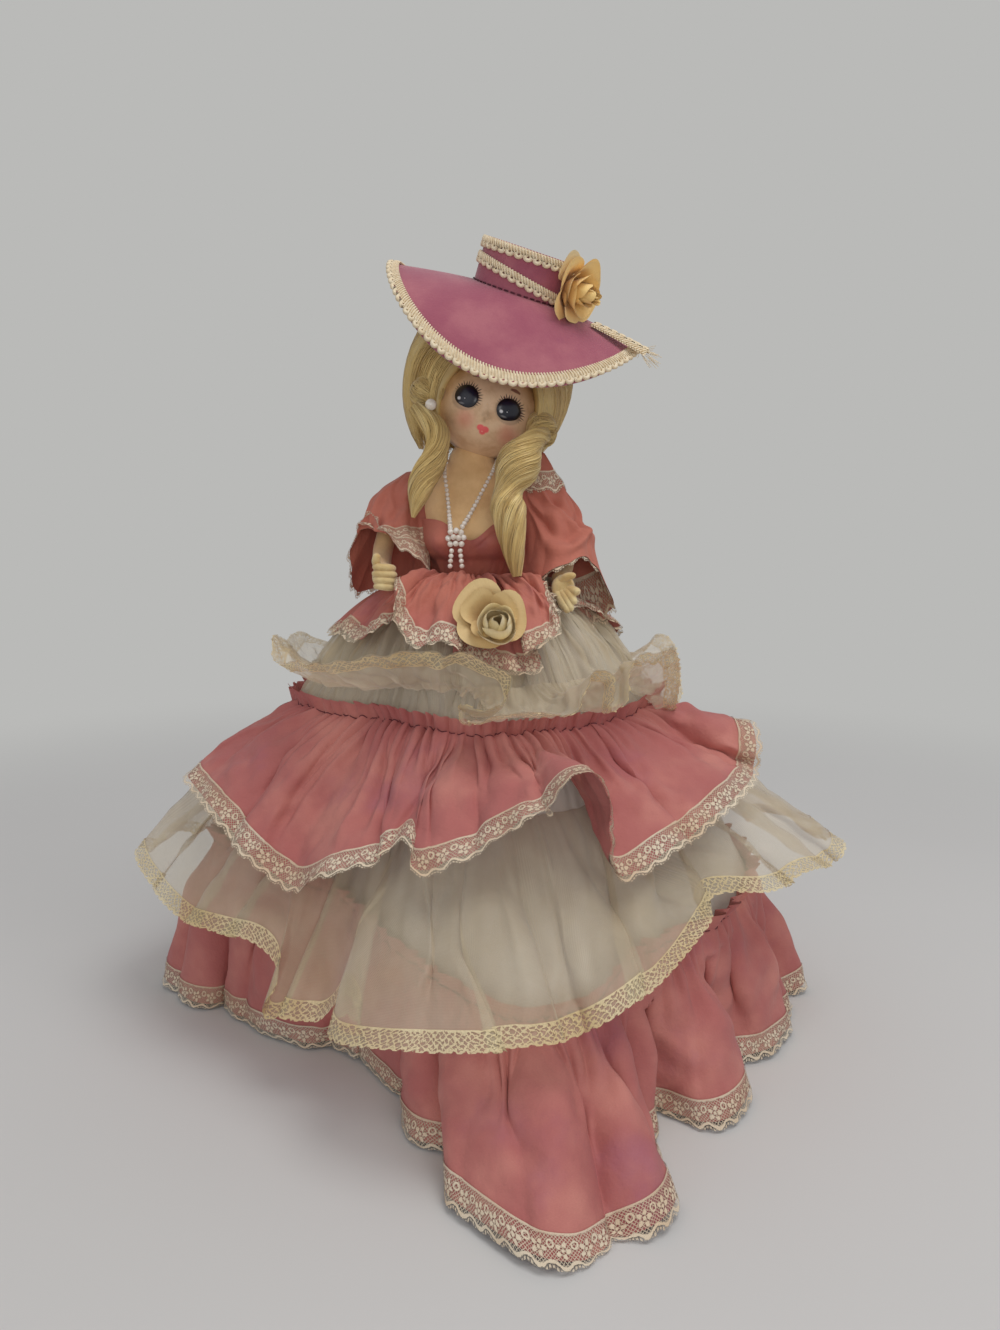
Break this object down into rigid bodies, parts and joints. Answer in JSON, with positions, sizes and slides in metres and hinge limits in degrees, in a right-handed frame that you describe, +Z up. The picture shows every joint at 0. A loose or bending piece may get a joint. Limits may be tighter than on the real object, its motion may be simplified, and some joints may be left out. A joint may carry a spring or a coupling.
{
  "type": "boudoir doll",
  "caption": "Stuffed cloth doll standing on a hidden skirt cone, in a tiered lace-edged gown with pearls, blonde wig and a wide picture hat; head and arms bend on wires.",
  "frame": {"origin": "middle of the underside of the base disc", "axes": "+Z up the spine, -Y towards the doll's front, +X towards the viewer's right"},
  "size_m": [0.3582, 0.3628, 0.3811],
  "materials": {
    "card": "plain",
    "dowel_wood": "bare",
    "skin_cloth": "aged cotton",
    "painted_mask": "pressed cloth, painted",
    "hand_cloth": "aged cotton",
    "pink_cotton": "plain weave, faded",
    "white_lining": "plain weave",
    "ivory_organza": "sheer organza",
    "cream_lace": "cotton lace",
    "mauve_felt": "felt, mottled",
    "gimp_braid": "looped braid",
    "ochre_satin": "satin petals",
    "ivory_satin": "satin petals",
    "blonde_hair": "silky floss",
    "pearl": "pearlised",
    "eye_gloss": "gloss",
    "wire": "drawn"
  },
  "bodies": {
    "stand": {"base_disc": "card", "skirt_cone": "card", "spine_dowel": "dowel_wood", "torso": "skin_cloth", "bodice": "pink_cotton", "underskirt": "white_lining", "net_petticoat": "white_lining", "bottom_flounce": "pink_cotton", "bottom_lace": "cream_lace", "lower_sheer_flounce": "ivory_organza", "lower_sheer_lace": "cream_lace", "upper_flounce": "pink_cotton", "upper_lace": "cream_lace", "sheer_overskirt": "ivory_organza", "top_sheer_flounce": "ivory_organza", "top_sheer_lace": "cream_lace", "peplum": "pink_cotton", "peplum_lace": "cream_lace", "waist_rose": "ivory_satin", "necklace_strand": "pearl", "necklace_knot": "pearl", "necklace_drop": "pearl", "left_shoulder_pin": "wire", "right_shoulder_pin": "wire"},
    "neck": {"neck_wire": "wire"},
    "head": {"head_core": "skin_cloth", "face_mask": "painted_mask", "left_eye": "eye_gloss", "right_eye": "eye_gloss", "wig": "blonde_hair", "left_hair_roll": "blonde_hair", "right_hair_roll": "blonde_hair", "left_earring": "pearl", "right_earring": "pearl", "left_ringlet": "blonde_hair", "right_ringlet": "blonde_hair", "hat_brim": "mauve_felt", "brim_braid": "gimp_braid", "hat_crown": "mauve_felt", "crown_top_braid": "gimp_braid", "crown_band_braid": "gimp_braid", "hat_rose": "ochre_satin", "braid_tail": "gimp_braid"},
    "arm_left": {"left_arm": "skin_cloth", "left_hand": "hand_cloth", "left_sleeve": "pink_cotton", "left_sleeve_band": "cream_lace", "left_cuff_lace": "cream_lace"},
    "arm_right": {"right_arm": "skin_cloth", "right_hand": "hand_cloth", "right_sleeve": "pink_cotton", "right_sleeve_band": "cream_lace", "right_cuff_lace": "cream_lace"}
  },
  "joints": [
    {"name": "neck_tilt", "type": "hinge", "parent": "stand", "child": "neck", "pos_m": [0, 0, 0.2753], "axis": [0, 1, 0], "range_deg": [-18, 5]},
    {"name": "head_turn", "type": "hinge", "parent": "neck", "child": "head", "pos_m": [0, 0, 0.2753], "axis": [0.309, 0, 0.9511], "range_deg": [-25, 25], "deforming": ["left_ringlet", "right_ringlet"]},
    {"name": "left_shoulder", "type": "hinge", "parent": "stand", "child": "arm_left", "pos_m": [-0.036, 0, 0.257], "axis": [-1, 0, 0], "range_deg": [-8, 55], "deforming": ["left_sleeve", "left_sleeve_band", "left_cuff_lace"]},
    {"name": "right_shoulder", "type": "hinge", "parent": "stand", "child": "arm_right", "pos_m": [0.036, 0, 0.257], "axis": [-1, 0, 0], "range_deg": [-2, 55], "deforming": ["right_sleeve", "right_sleeve_band", "right_cuff_lace"]}
  ]
}
